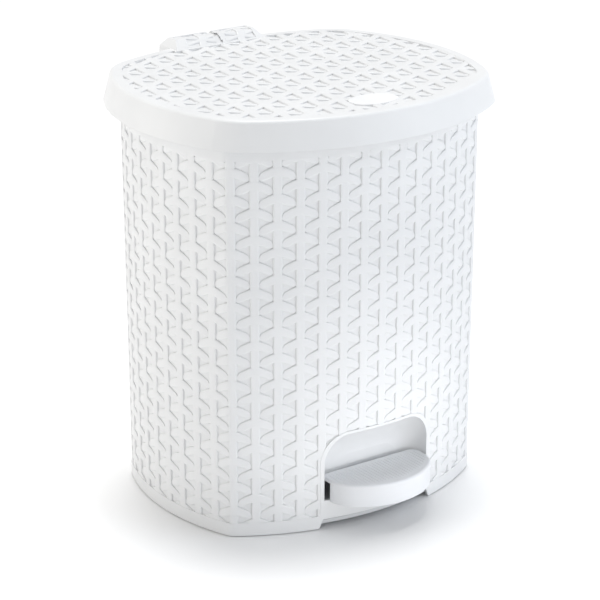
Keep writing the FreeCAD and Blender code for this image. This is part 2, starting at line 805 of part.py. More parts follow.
def make_pedal_lever():
    """Lever from the tread over its axle to the foot of the push rod."""
    half = cell("lever_width") / 2
    y, z = -cell("axle_front"), cell("axle_height")
    plate = cell("pedal_top") - cell("pedal_wall")
    tread = -cell("pedal_rear")
    side = [
        (tread - 9.5, plate),
        (tread - 0.5, plate),
        (tread + 1, plate - 3),
        (tread + 14, plate - 6.5),
        (y, z + 7),
        (y + 35, z + 3),
        (88, 17),
        (88, 9),
        (y + 35, 9.5),
        (y, z - 7),
        (tread + 14, 22),
        (tread - 4.5, plate - 8.5),
        (tread - 9.5, plate - 5),
    ]
    arm = prism_x("lever_arm", side, -half, half)
    boss = pin_across("lever_boss", 8, 32, y, z)
    foot, low = cell("rod_back"), cell("rod_foot_height")
    neck = [(80, low - 3), (foot, low - 4.8), (foot, low + 4.8), (80, low + 4.4)]
    eye_web = prism_x("lever_eye_web", neck, 4.6, 9.6)
    eye = pin_across("lever_eye", 5, 5, foot, low, 7.1)
    axle_bore = pin_across("lever_axle_bore", cell("axle_radius") + cell("running_gap"), 40, y, z)
    rod_bore = cell("rod_radius") + cell("running_gap")
    eye_bore = pin_across("lever_eye_bore", rod_bore, 12, foot, low, 7.1)
    y_pin, z_pin = tread_pin_place()
    pin_bore = pin_across("lever_pin_bore", cell("tread_pin_radius") + cell("press_gap"), 40, y_pin, z_pin)
    whole = fuse("lever_whole", arm, boss, eye_web, eye)
    return cut("pedal_lever", whole, axle_bore, eye_bore, pin_bore)


def make_tread_pin():
    """Cross pin that fixes the tread to the lever."""
    y, z = tread_pin_place()
    return pin_across("tread_pin", cell("tread_pin_radius"), 29.5, y, z)


def pipe_along(name, radius, draw_path, path_plane, section_plane, centre):
    """A round wire swept along a path; each plane is (role, offset, shift)."""
    body = new_body(name)
    path = sketch_in(body, f"{name}_path", *path_plane)
    draw_path(path)
    section = sketch_in(body, f"{name}_section", *section_plane)
    x, y = (as_size(value) for value in centre)
    circle = Part.Circle(Vector(x.number, y.number, 0), Vector(0, 0, 1), as_size(radius).number)
    section.addGeometry(circle, False)
    hold(section, "Radius", 0, radius)
    hold(section, "DistanceX", -1, 1, 0, 3, x)
    hold(section, "DistanceY", -1, 1, 0, 3, y)
    doc.recompute()
    made = body.newObject("PartDesign::AdditivePipe", f"{name}_pipe")
    made.Profile = section
    made.Spine = (path, [f"Edge{i}" for i in range(1, len(path.Shape.Edges) + 1)])
    return body


def draw_rod_path(sketch):
    """Upright wire with a bent foot towards +X, in X and Z."""
    top, foot, bend, end = (
        cell(name).number for name in ("rod_top", "rod_foot_height", "rod_foot_bend", "rod_foot_end")
    )
    up = Vector(0, 0, 1)
    sketch.addGeometry(Part.LineSegment(Vector(0, top, 0), Vector(0, foot + bend, 0)), False)
    arc = Part.ArcOfCircle(Part.Circle(Vector(bend, foot + bend, 0), up, bend), math.pi, 1.5 * math.pi)
    sketch.addGeometry(arc, False)
    sketch.addGeometry(Part.LineSegment(Vector(bend, foot, 0), Vector(end, foot, 0)), False)
    sketch.addConstraint(Sketcher.Constraint("Tangent", 0, 2, 1, 1))
    sketch.addConstraint(Sketcher.Constraint("Tangent", 1, 2, 2, 1))
    sketch.addConstraint(Sketcher.Constraint("Vertical", 0))
    sketch.addConstraint(Sketcher.Constraint("PointOnObject", 0, 1, -2))
    hold(sketch, "DistanceY", -1, 1, 0, 1, cell("rod_top"))
    hold(sketch, "DistanceY", -1, 1, 2, 2, cell("rod_foot_height"))
    hold(sketch, "DistanceX", -1, 1, 2, 2, cell("rod_foot_end"))
    sketch.addConstraint(Sketcher.Constraint("Horizontal", 2))
    hold(sketch, "Radius", 1, cell("rod_foot_bend"))


def make_push_rod():
    """Steel wire with its foot bent through the lever's eye."""
    path_plane = ("XZ_Plane", -cell("rod_back"))
    section_plane = ("XY_Plane", cell("rod_top"))
    centre = (0, cell("rod_back"))
    return pipe_along("push_rod", cell("rod_radius"), draw_rod_path, path_plane, section_plane, centre)


def crank_pin_place():
    """Where the crank pin stands with the lid closed."""
    angle = math.radians(SIZES["crank_angle"])
    reach = cell("crank_radius") * math.cos(angle)
    drop = cell("crank_radius") * math.sin(angle)
    return cell("hinge_back") - reach, cell("hinge_height") - drop


def make_rod_head():
    """Forked block on top of the rod: the crank pin runs in its slot, open to the rear."""
    _, z_pin = crank_pin_place()
    y = cell("rod_back")
    block = box("head_block", (-4, y - 7, z_pin - 16), (4, y + 6.2, z_pin + 7))
    half = cell("crank_pin_radius") + 0.7
    slot = box("head_slot", (-5, y - 4.9, z_pin - half), (5, y + 8, z_pin + half))
    radius, deep = cell("rod_radius") + cell("press_gap"), 40
    socket = cylinder("head_socket", radius, deep, 0, y, cell("rod_top") - deep)
    return cut("rod_head", block, slot, socket)


def make_rod_clip():
    """Push-on washer on the rod's bent foot."""
    radius = cell("rod_radius") + cell("press_gap")
    return ring_x("rod_clip", 4.5, radius, 1.4, cell("rod_back"), cell("rod_foot_height"), 11.2)


# ---------------------------------------------------------------- lid

def hump_block(name, inset, low, top):
    """The raised cover over the hinge: straight below the lid's face, sloped above it."""
    body = new_body(name)
    inset = as_size(inset)
    wide, narrow = cell("hump_half_width") - inset, cell("hump_top_half_width") - inset
    rear = cell("hump_rear")
    face = cell("lid_top") - inset
    levels = (
        (low, wide + 0.8, cell("hump_front"), rear - inset),
        (face, wide, cell("hump_front") + 0.5, rear - 1 - inset),
        (top, narrow, cell("hump_crest"), rear - 7 - inset),
    )
    sections = []
    for i, (height, half, front, back) in enumerate(levels):
        section = sketch_in(body, f"{name}_{i}", "XY_Plane", height)
        draw_polygon(section, [(-half, front), (half, front), (half, back), (-half, back)])
        sections.append(section)
    loft(body, f"{name}_loft", sections)
    return body


def make_lid():
    """Lid: tapering skirt, flat face with the woven zone set back, hinge cover and knuckles."""
    low, top = cell("skirt_bottom"), cell("lid_top")
    draft, wall = cell("lid_draft"), cell("lid_wall")
    slope = draft / (top - low)
    outside = new_body("lid_outside")
    sections = [lid_section(outside, "lid_skirt_low", low, 0)]
    rounding = cell("lid_edge")
    steps = 4
    for i in range(steps + 1):
        angle = math.pi / 2 * i / steps
        height = top - rounding * (1 - math.sin(angle))
        inset = slope * (height - low) + rounding * (1 - math.cos(angle))
        sections.append(lid_section(outside, f"lid_edge_{i}", height, inset))
    loft(outside, "lid_skirt", sections)

    under = top - cell("lid_plate")
    inside = new_body("lid_inside")
    sections = [lid_section(inside, "lid_inside_low", low - 1, wall - slope)]
    sections.append(lid_section(inside, "lid_inside_high", under, wall + slope * (under - low)))
    loft(inside, "lid_inside_loft", sections)

    hump_top = cell("hump_top")
    hump = hump_block("hump_outside", 0, low, hump_top)
    hump_hollow = hump_block("hump_inside", cell("hump_wall"), low - 1, hump_top - cell("hump_wall"))

    field = new_body("lid_field")
    edge = lid_section(field, "lid_field_outline", top - cell("lid_relief"), draft + cell("lid_rim"))
    pad(field, "lid_field_pad", edge, 5)
    front, rear, crest = cell("hump_front"), cell("hump_rear"), cell("hump_crest")
    keep_half = cell("hump_keep_half")
    keep = box("hump_keep", (-keep_half, front - 0.5, low), (keep_half, rear + 10, hump_top + 10))
    field_cut = cut("lid_field_cut", field, keep)
    margin = cell("hump_margin")
    hump_half = cell("hump_top_half_width") - margin
    ground = hump_top - cell("hump_relief")
    slope_cut = [
        (front, top + 10),
        (front, top + 2.5),
        (front + 1.3, top + 0.6),
        (front + 2.0, top - 0.4),
        (crest + 0.4, ground),
        (rear - margin * 3, ground),
        (rear - margin * 3, top + 10),
    ]
    hump_field = prism_x("hump_field", slope_cut, -hump_half, hump_half)
    notch_half = cell("notch_half_width")
    notch = box(
        "hump_notch",
        (-notch_half, crest - 3.5, hump_top - cell("notch_depth")),
        (notch_half, rear + 2, hump_top + 2),
    )

    y, z = cell("hinge_back"), cell("hinge_height")
    boss = cell("hinge_boss")
    knuckles, bores = [], []
    for side, label in ((-1, "left"), (1, "right")):
        width = cell("knuckle_width")
        left, right, middle = across_side(side, cell("knuckle_inner"), width)
        neck = [(y - 4, z), (y + 4, z), (y + 4, hump_top - 2), (y - 2, hump_top - 2)]
        knuckles.append(prism_x(f"knuckle_neck_{label}", neck, left, right))
        knuckles.append(pin_across(f"knuckle_{label}", boss, width, y, z, middle))
        radius = cell("hinge_pin_radius") + cell("running_gap")
        bores.append(pin_across(f"knuckle_bore_{label}", radius, width + 3, y, z, middle))
    shell = cut("lid_shell", fuse("lid_and_hump", outside, hump), inside, hump_hollow, field_cut)
    fitted = cut("lid_relieved", shell, hump_field, notch)
    return cut("lid", fuse("lid_with_knuckles", fitted, *knuckles), *bores)


def make_lid_badge():
    """Blank oval plate near the lid's front edge."""
    body = new_body("lid_badge")
    height = cell("lid_top") - cell("lid_relief")
    sketch = sketch_in(body, "badge_outline", "XY_Plane", height, -cell("badge_front"))
    half, deep = cell("badge_half_width"), cell("badge_half_depth")
    long_arc = half * 1.5
    draw_four_arcs(sketch, half, deep, long_arc, long_arc, half, half * 0.45)
    pad(body, "badge_pad", sketch, cell("lid_relief"))
    return body


def crank_screw_places():
    """Where the two screws of the crank stand, in Y."""
    y_pin, _ = crank_pin_place()
    return y_pin - 6.5, y_pin + 1.5


def make_lid_crank():
    """Fork under the lid whose cheeks hold the crank pin."""
    y_pin, z_pin = crank_pin_place()
    under = cell("lid_top") - cell("lid_plate")
    foot = box("crank_foot", (-10, y_pin - 9, under - 2.5), (10, y_pin + 4.6, under))
    cheeks = []
    for side, label in ((-1, "left"), (1, "right")):
        thick = cell("crank_cheek_thick")
        low, high, middle = across_side(side, cell("crank_cheek_inner"), thick)
        shape = [
            (y_pin - 4.4, z_pin - 1),
            (y_pin + 4.4, z_pin - 1),
            (y_pin + 4.4, under - 1),
            (y_pin - 7, under - 1),
        ]
        cheeks.append(prism_x(f"crank_cheek_{label}", shape, low, high))
        cheeks.append(pin_across(f"crank_eye_{label}", 4.4, thick, y_pin, z_pin, middle))
    bore = pin_across("crank_bore", cell("crank_pin_radius") + cell("press_gap"), 20, y_pin, z_pin)
    holes = []
    for i, y in enumerate(crank_screw_places()):
        holes.append(cylinder(f"crank_hole_{i}", 1.3, 5, 0, y, under - 4))
    return cut("lid_crank", fuse("crank_whole", foot, *cheeks), bore, *holes)


def make_crank_parts():
    """The crank's cross pin and the two screws that hold the crank under the lid."""
    y_pin, z_pin = crank_pin_place()
    pin = pin_across("crank_pin", cell("crank_pin_radius"), 17, y_pin, z_pin)
    under = cell("lid_top") - cell("lid_plate")
    screws = []
    for i, y in enumerate(crank_screw_places()):
        head = cylinder(f"crank_screw_head_{i}", 2.4, 1.4, 0, y, under - 3.9)
        shank = cylinder(f"crank_screw_shank_{i}", 1.25, 2.5, 0, y, under - 2.5)
        screws.append(fuse(f"crank_screw_{i}", head, shank))
    group = doc.addObject("Part::Compound", "crank_screws")
    group.Links = screws
    return [pin, group]


# ---------------------------------------------------------------- bucket

def make_inner_bucket():
    """Tapered lift-out bucket that hangs by its flange on the body's edge."""
    top = cell("body_top")
    wall = cell("bucket_wall")
    outside = new_body("bucket_outside")
    sections = [bucket_section(outside, "bucket_low", cell("bucket_bottom"), 0)]
    sections.append(bucket_section(outside, "bucket_high", top, 0))
    loft(outside, "bucket_loft", sections)
    flange = new_body("bucket_flange")
    rim = body_section(flange, "flange_outline", top, 0.8)
    pad(flange, "flange_pad", rim, cell("flange_thick"))
    inside = new_body("bucket_inside")
    floor = cell("bucket_bottom") + cell("bucket_floor")
    sections = [bucket_section(inside, "bucket_inside_low", floor, wall)]
    sections.append(bucket_section(inside, "bucket_inside_high", top + 5, wall))
    loft(inside, "bucket_inside_loft", sections)
    half = cell("flange_notch_half")
    notch = box("flange_notch", (-half, 92.4, top - 0.5), (half, 130, top + 6))
    shell = cut("bucket_shell", fuse("bucket_solid", outside, flange), inside, notch)

    z = cell("bail_height")
    radius = cell("bail_radius") + cell("running_gap")
    holes = pin_across("bail_holes", radius, cell("body_half_width") * 2, -cell("bucket_shift"), z)
    rests = []
    back = -cell("bail_reach") - cell("bucket_shift") + 3
    front = back - 16.5
    shelf_top = z - cell("bail_radius") - 0.05
    shelf = [(front, shelf_top - 9), (back, shelf_top - 2), (back, shelf_top), (front, shelf_top)]
    for side, label in ((-1, "left"), (1, "right")):
        low, high, _ = across_side(side, cell("bail_rest_inner"), cell("bail_rest_width"))
        rests.append(prism_x(f"bail_rest_{label}", shelf, low, high))
    return cut("inner_bucket", fuse("bucket_with_rests", shell, *rests), holes)


def draw_bail_path(sketch):
    """Wire outline seen from above: two short ends, a wide front stretch and rounded corners."""
    half, reach = cell("bail_half_width"), cell("bail_reach")
    bend, corner = cell("bail_bend"), cell("bail_corner")
    end = half + bend + cell("bail_end")
    w, d, b, c, e = (x.number for x in (half, reach, bend, corner, end))
    up = Vector(0, 0, 1)

    def arc(x, y, radius, start, stop):
        circle = Part.Circle(Vector(x, y, 0), up, radius)
        return Part.ArcOfCircle(circle, math.radians(start), math.radians(stop))

    def line(x0, y0, x1, y1):
        return Part.LineSegment(Vector(x0, y0, 0), Vector(x1, y1, 0))

    sketch.addGeometry(line(-e, 0, -w - b, 0), False)
    sketch.addGeometry(arc(-w - b, -b, b, 0, 90), False)
    sketch.addGeometry(line(-w, -b, -w, c - d), False)
    sketch.addGeometry(arc(c - w, c - d, c, 180, 270), False)
    sketch.addGeometry(line(c - w, -d, w - c, -d), False)
    sketch.addGeometry(arc(w - c, c - d, c, 270, 360), False)
    sketch.addGeometry(line(w, c - d, w, -b), False)
    sketch.addGeometry(arc(w + b, -b, b, 90, 180), False)
    sketch.addGeometry(line(w + b, 0, e, 0), False)
    for first, first_end, second, second_end in (
        (0, 2, 1, 2),
        (1, 1, 2, 1),
        (2, 2, 3, 1),
        (3, 2, 4, 1),
        (4, 2, 5, 1),
        (5, 2, 6, 1),
        (6, 2, 7, 2),
        (7, 1, 8, 1),
    ):
        sketch.addConstraint(Sketcher.Constraint("Tangent", first, first_end, second, second_end))
    for index, kind in ((0, "Horizontal"), (2, "Vertical"), (6, "Vertical"), (8, "Horizontal")):
        sketch.addConstraint(Sketcher.Constraint(kind, index))
    for index, size in ((1, bend), (3, corner), (5, corner), (7, bend)):
        hold(sketch, "Radius", index, size)
    hold(sketch, "DistanceX", -1, 1, 0, 1, -end)
    hold(sketch, "DistanceX", -1, 1, 8, 2, end)
    hold(sketch, "DistanceX", -1, 1, 2, 1, -half)
    hold(sketch, "DistanceX", -1, 1, 6, 1, half)
    hold(sketch, "DistanceY", -1, 1, 0, 1, 0)
    hold(sketch, "DistanceY", -1, 1, 4, 1, -reach)
    sketch.addConstraint(Sketcher.Constraint("PointOnObject", 8, 2, -1))


def make_bucket_handle():
    """Wire handle folded forward inside the bucket's rim."""
    end = cell("bail_half_width") + cell("bail_bend") + cell("bail_end")
    path_plane = ("XY_Plane", cell("bail_height"), -cell("bucket_shift"))
    section_plane = ("YZ_Plane", -end)
    centre = (-cell("bucket_shift"), cell("bail_height"))
    wire = cell("bail_radius")
    return pipe_along("bucket_handle", wire, draw_bail_path, path_plane, section_plane, centre)


def make_handle_grip():
    """Plastic sleeve on the middle of the wire handle."""
    y, z = -cell("bail_reach") - cell("bucket_shift"), cell("bail_height")
    bore = cell("bail_radius") + cell("press_gap")
    return ring_x("handle_grip", cell("grip_radius"), bore, cell("grip_half_length") * 2, y, z, 0)


# ---------------------------------------------------------------- assembly

def main():
    nodes = [make_outer_body(), make_base_plate(), make_base_screws(), *make_feet()]
    nodes += [*make_axle_parts(), *make_rod_guides(), *make_hinge_pins()]
    nodes += [make_pedal(), make_pedal_lever(), make_tread_pin()]
    nodes += [make_push_rod(), make_rod_head(), make_rod_clip()]
    nodes += [make_lid(), make_lid_badge(), make_lid_crank(), *make_crank_parts()]
    nodes += [make_inner_bucket(), make_bucket_handle(), make_handle_grip()]
    for node in nodes:
        node.Label = node.Name
    doc.recompute()

    faults = [thing.Name for thing in doc.Objects if {"Invalid", "Error"} & set(thing.State)]
    faults += [node.Name for node in nodes if node.Shape.isNull() or not node.Shape.isValid()]
    if faults:
        raise SystemExit(f"failed: {faults}")
    os.makedirs("parts", exist_ok=True)
    for node in nodes:
        node.Shape.exportStep(f"parts/{node.Label}.step")
        shape = node.Shape
        size = shape.BoundBox
        print(f"{node.Label:20s} solids {len(shape.Solids)} volume {shape.Volume:10.1f} box {size}")


main()
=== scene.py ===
"""Pedal bin: woven relief, ribbed tread, moulded plastics, soft studio light and camera.

Lengths are millimetres in the part's own frame until make_mesh turns them into metres. Lamps, camera and
bump heights are in metres.
"""

import json
import math

import bpy
import numpy as np
from mathutils import Matrix, Vector


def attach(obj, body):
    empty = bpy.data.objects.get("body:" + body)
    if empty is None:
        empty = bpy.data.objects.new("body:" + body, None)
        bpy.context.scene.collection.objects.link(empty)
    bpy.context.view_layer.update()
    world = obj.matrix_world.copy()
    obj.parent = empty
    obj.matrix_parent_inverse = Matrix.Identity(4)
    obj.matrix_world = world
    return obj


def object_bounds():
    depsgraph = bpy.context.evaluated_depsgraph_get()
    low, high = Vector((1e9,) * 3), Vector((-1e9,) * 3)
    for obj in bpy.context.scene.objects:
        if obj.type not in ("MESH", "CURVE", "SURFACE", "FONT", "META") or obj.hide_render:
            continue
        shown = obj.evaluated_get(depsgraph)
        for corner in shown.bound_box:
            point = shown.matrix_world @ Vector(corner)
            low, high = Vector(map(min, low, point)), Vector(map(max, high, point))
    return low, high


MM = 0.001

# body outline at the floor: it grows evenly up to the rim
BODY_HALF_WIDTH = 134.3
BODY_HALF_DEPTH = 110.8
BODY_FRONT_ARC = 211.7
BODY_SIDE_ARC = 184.7
BODY_CORNER = 9.0
BODY_GROWTH = 2.0
BODY_BOTTOM = 0.8
BODY_TOP = 333.0
BODY_RELIEF = 1.7
WEAVE_BOTTOM = 11.5
WEAVE_TOP = 306.0

# niche over the pedal
NICHE_HALF_WIDTH = 51.0
NICHE_TOP = 77.5
NICHE_CORNER = 22.0
NICHE_MARGIN = 1.4

# lid outline at its skirt, and what lies inside the smooth rim
LID_HALF_WIDTH = 149.8
LID_HALF_DEPTH = 133.2
LID_FRONT_ARC = 204.8
LID_BACK_ARC = 282.2
LID_SIDE_ARC = 182.4
LID_CORNER = 51.8
LID_RING_POINTS = 240
LID_FIELD_INSET = 15.0
LID_TOP = 340.0
LID_RELIEF = 2.0
BADGE_MIDDLE = -96.0
BADGE_HALF_WIDTH = 20.0
BADGE_HALF_DEPTH = 14.0

# hinge cover: where its sloped front starts and ends, and its own woven zone
COVER_KEEP_HALF = 45.0
COVER_KEEP_FRONT = 111.5
COVER_FOOT = 112.5
COVER_CREST = 121.5
COVER_SLOPE_LENGTH = 1.23
COVER_STRETCH = 3.0
COVER_TOP = 346.5
COVER_RELIEF = 1.2
COVER_WEAVE_HALF = 35.0
COVER_WEAVE_REAR = 131.0
COVER_NOTCH_HALF = 2.5

# weave: upright ribs, and over each rib a row of bands that droop to both sides
FRONT_COLUMNS = 14
SIDE_COLUMNS = 9
BODY_COLUMNS = 2 * (FRONT_COLUMNS + SIDE_COLUMNS)
BODY_PERIOD = 21.2
BODY_PHASE = 1.1
BODY_RISES = (1.35, 1.43)
LID_PITCH = 18.5
LID_SHIFT = -11.6
LID_PERIOD = 24.8
LID_PHASE = 16.4
LID_TURN = -7.0
LID_RISES = (1.85, 1.94)
COVER_RISES = (1.05, 1.12)
RIB_HALF = 3.6
RIB_STEP = 2.4
BAND_HALF = 4.1
BAND_STEPS = 22
BAND_REACH_PAST_RIB = 0.2
BAND_DROOP = 0.455
BAND_BEND = 2.5
BAND_TAPER = 0.12
BAND_TIP = 3.2
BAND_TIP_LIMIT = 0.998
BAND_LEVEL = 0.15
BAND_FALL = 0.62
SINK = 0.3
OVERRUN = 2.0
SHARP_EDGE = 50.0

# pedal tread: one long front arc between two corner arcs, and its fine ribs
TREAD_HALF_WIDTH = 47.0
TREAD_CORNER = 28.0
TREAD_FRONT_ARC = 58.0
TREAD_FRONT = -140.0
TREAD_REAR = -93.5
TREAD_TOP = 42.0
TREAD_RIB_PITCH = 3.2
TREAD_RIB_HALF = 1.0
TREAD_RIB_RISE = 0.45
TREAD_RIB_SINK = 0.1
TREAD_RIB_ROWS = 15
TREAD_RIB_SIDES = 6
TREAD_MARGIN = 5.0

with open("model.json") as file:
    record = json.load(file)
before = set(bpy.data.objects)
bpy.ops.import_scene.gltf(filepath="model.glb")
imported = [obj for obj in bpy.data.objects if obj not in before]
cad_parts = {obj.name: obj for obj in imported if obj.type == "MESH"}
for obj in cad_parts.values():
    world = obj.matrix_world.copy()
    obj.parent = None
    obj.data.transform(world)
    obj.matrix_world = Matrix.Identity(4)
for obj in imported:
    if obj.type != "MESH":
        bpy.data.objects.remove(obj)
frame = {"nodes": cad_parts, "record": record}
cad_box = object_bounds()


# ---------------------------------------------------------------- outlines

def corner_centre(first, second, corner, outward):
    """Centre of the corner circle that touches two circles, each (centre, radius), from inside."""
    a, b = first[1] - corner, second[1] - corner
    span = second[0] - first[0]
    gap = np.linalg.norm(span)
    along = (a * a - b * b + gap * gap) / (2 * gap)
    across = math.sqrt(a * a - along * along)
    unit = span / gap
    normal = np.array([-unit[1], unit[0]])
    places = [first[0] + unit * along + normal * across * side for side in (1, -1)]
    return max(places, key=lambda point: point @ np.array(outward))


class Outline:
    """Four long arcs joined by tangent corners, measured from the middle of the front towards +X."""

    def __init__(self, half_width, half_depth, front, back, side, corner):
        front_arc = (np.array([0.0, front - half_depth]), front)
        back_arc = (np.array([0.0, half_depth - back]), back)
        right_arc = (np.array([half_width - side, 0.0]), side)
        left_arc = (np.array([side - half_width, 0.0]), side)
        rounds = []
        for along, across, outward in (
            (front_arc, right_arc, (1, -1)),
            (back_arc, right_arc, (1, 1)),
            (back_arc, left_arc, (-1, 1)),
            (front_arc, left_arc, (-1, -1)),
        ):
            rounds.append((corner_centre(along, across, corner, outward), corner))
        ring = [front_arc, rounds[0], right_arc, rounds[1], back_arc]
        ring += [rounds[2], left_arc, rounds[3], front_arc]
        turns = [-math.pi / 2]
        for first, second in zip(ring, ring[1:]):
            large, small = (first, second) if first[1] > second[1] else (second, first)
            way = small[0] - large[0]
            turn = math.atan2(way[1], way[0])
            turns.append(turn if turn > turns[-1] else turn + 2 * math.pi)
        turns.append(1.5 * math.pi)
        self.centres = np.array([centre for centre, _ in ring])
        self.radii = np.array([radius for _, radius in ring])
        self.turns = np.array(turns[:-1])
        lengths = self.radii * np.diff(turns)
        self.ends = np.cumsum(lengths)
        self.starts = self.ends - lengths
        self.length = self.ends[-1]

    def at(self, distance):
        """Points and outward normals at distances along the outline."""
        distance = np.mod(distance, self.length)
        i = np.clip(np.searchsorted(self.ends, distance, side="right"), 0, len(self.ends) - 1)
        angle = self.turns[i] + (distance - self.starts[i]) / self.radii[i]
        normal = np.stack([np.cos(angle), np.sin(angle)], -1)
        return self.centres[i] + normal * self.radii[i][..., None], normal


def inside_polygon(x, y, corners):
    """Which points lie inside a closed polygon."""
    inside = np.zeros(x.shape, bool)
    for (x0, y0), (x1, y1) in zip(corners, np.roll(corners, -1, 0)):
        if y0 != y1:
            crosses = (y0 > y) != (y1 > y)
            inside ^= crosses & (x < (x1 - x0) * (y - y0) / (y1 - y0) + x0)
    return inside


def ring_of_points(outline, inset):
    """The outline moved inwards, as a polygon."""
    points, normals = outline.at(np.linspace(0, outline.length, LID_RING_POINTS + 1)[:-1])
    return points - normals * inset


BODY = Outline(
    BODY_HALF_WIDTH, BODY_HALF_DEPTH, BODY_FRONT_ARC, BODY_FRONT_ARC, BODY_SIDE_ARC, BODY_CORNER
)
LID = Outline(LID_HALF_WIDTH, LID_HALF_DEPTH, LID_FRONT_ARC, LID_BACK_ARC, LID_SIDE_ARC, LID_CORNER)


def on_body(along, height, rise):
    """A point on the body's wall, rise above the ground of the woven zone."""
    points, normals = BODY.at(along)
    growth = BODY_GROWTH * (height - BODY_BOTTOM) / (BODY_TOP - BODY_BOTTOM)
    points = points + normals * (growth - BODY_RELIEF + rise)[..., None]
    return np.concatenate([points, height[..., None]], -1)


def turned(along, across):
    """Place on the lid of a point of its weave, which is turned against the lid's middle line."""
    turn = math.radians(LID_TURN)
    return (
        along * math.cos(turn) - across * math.sin(turn),
        along * math.sin(turn) + across * math.cos(turn),
    )


def on_lid(along, across, rise):
    """A point on the lid's face, rise above the ground of its woven zone."""
    x, y = turned(along, across)
    return np.stack([x, y, LID_TOP - LID_RELIEF + rise], -1)


def cover_place(along, across):
    """Place on the hinge cover of a point of the weave, which is squeezed on the sloped front."""
    x, y = turned(along, across)
    slope_end = COVER_FOOT + (COVER_CREST - COVER_FOOT) * COVER_STRETCH
    squeezed = COVER_FOOT + (y - COVER_FOOT) / COVER_STRETCH
    return x, np.where(y < slope_end, squeezed, COVER_CREST + y - slope_end)


def on_cover(along, across, rise):
    """A point on the hinge cover: its sloped front, then its flat top."""
    x, y = cover_place(along, across)
    share = (y - COVER_FOOT) / (COVER_CREST - COVER_FOOT)
    face = LID_TOP + (COVER_TOP - LID_TOP) * np.clip(share, 0, 1)
    stretch = np.where(share < 1, COVER_SLOPE_LENGTH, 1.0)
    return np.stack([x, y, face + (rise - COVER_RELIEF) * stretch], -1)


# ---------------------------------------------------------------- meshes

class Weave:
    """Gathers strips of quads on one surface and leaves out the quads that aren't wanted."""

    def __init__(self, surface, wanted):
        self.surface = surface
        self.wanted = wanted
        self.points = []
        self.quads = []
        self.count = 0

    def strip(self, along, across, rise):
        """A grid of surface points: each row is one cross-section of a strand."""
        rows, columns = along.shape
        index = np.arange(rows * columns).reshape(rows, columns) + self.count
        quads = np.stack([index[:-1, :-1], index[1:, :-1], index[1:, 1:], index[:-1, 1:]], -1)

        def middle(grid):
            return (grid[:-1, :-1] + grid[1:, :-1] + grid[1:, 1:] + grid[:-1, 1:]) / 4

        keep = self.wanted(middle(along), middle(across))
        if keep.any():
            self.points.append(self.surface(along, across, rise).reshape(-1, 3))
            self.quads.append(quads[keep])
            self.count += rows * columns

    def finish(self, name):
        return make_mesh(name, np.concatenate(self.points), np.concatenate(self.quads))


def make_mesh(name, points, faces):
    """A mesh object from millimetre points, smooth except at sharp edges, with no loose points."""
    faces = np.asarray(faces)
    used, faces = np.unique(faces, return_inverse=True)
    faces = faces.reshape(-1, 4)
    mesh = bpy.data.meshes.new(name)
    mesh.from_pydata((np.asarray(points)[used] * MM).tolist(), [], faces.tolist())
    mesh.shade_smooth()
    mesh.set_sharp_from_angle(angle=math.radians(SHARP_EDGE))
    thing = bpy.data.objects.new(name, mesh)
    bpy.context.scene.collection.objects.link(thing)
    return thing


# half of a strand's cross-section: place across it from its edge to its middle, share of its height
PROFILE = (
    (1.0, 0.0),
    (0.99, 0.45),
    (0.94, 0.72),
    (0.84, 0.9),
    (0.68, 0.97),
    (0.4, 0.995),
    (0.0, 1.0),
)


def cross_section(height):
    """Places across a strand from -1 to 1, and the rise at each, sunk at its edges."""
    half = np.array(PROFILE)
    across = np.concatenate([-half[:, 0], half[-2::-1, 0]])
    share = np.concatenate([half[:, 1], half[-2::-1, 1]])
    rise = height[:, None] * share
    rise[:, [0, -1]] = -SINK
    return across, rise


def add_rib(weave, place, low, high, height):
    """One straight rib."""
    along = np.arange(low - OVERRUN, high + OVERRUN + RIB_STEP, RIB_STEP)
    across, rise = cross_section(np.full(along.shape, height))
    grid = np.broadcast_to(along[:, None], rise.shape)
    weave.strip(place + RIB_HALF * across[None, :] + 0 * grid, grid, rise)


def add_band(weave, place, apex, reach, height):
    """One band over a rib: level on the rib, drooping and sinking on both sides, with round tips."""
    offset = reach * np.sin(np.linspace(-math.pi / 2, math.pi / 2, BAND_STEPS + 1))
    droop = BAND_DROOP * (np.hypot(offset, BAND_BEND) - BAND_BEND)
    fall = np.clip((np.abs(offset) / reach - BAND_LEVEL) / (1 - BAND_LEVEL), 0, 1)
    top = height * (1 - BAND_FALL * fall * fall * (3 - 2 * fall))
    across, rise = cross_section(top)
    rise[[0, -1]] = -SINK
    grid = np.broadcast_to((place + offset)[:, None], rise.shape)
    past = np.clip((np.abs(offset) - reach + BAND_TIP) / BAND_TIP, 0, BAND_TIP_LIMIT)
    half = BAND_HALF * (1 - BAND_TAPER * np.abs(offset) / reach) * np.sqrt(1 - past**2)
    weave.strip(grid, (apex - droop)[:, None] - half[:, None] * across[None, :], rise)


def weave_columns(weave, columns, low, high, period, pitch, rises):
    """Ribs at the given places with their rows of bands; columns holds (place, phase)."""
    rib, band = rises
    reach = pitch - RIB_HALF + BAND_REACH_PAST_RIB
    for place, phase in columns:
        add_rib(weave, place, low, high, rib)
        row = math.floor((low - phase) / period)
        while phase + row * period < high + period:
            add_band(weave, place, phase + row * period, reach, band)
            row += 1


# ---------------------------------------------------------------- woven zones

def in_niche(x, height, margin):
    """Whether a place on the front lies in the niche, grown by margin."""
    half, top, corner = NICHE_HALF_WIDTH + margin, NICHE_TOP + margin, NICHE_CORNER + margin
    inside = (np.abs(x) < half) & (height < top)
    past_x, past_z = np.abs(x) - (half - corner), height - (top - corner)
    return inside & ~((past_x > 0) & (past_z > 0) & (np.hypot(past_x, past_z) > corner))


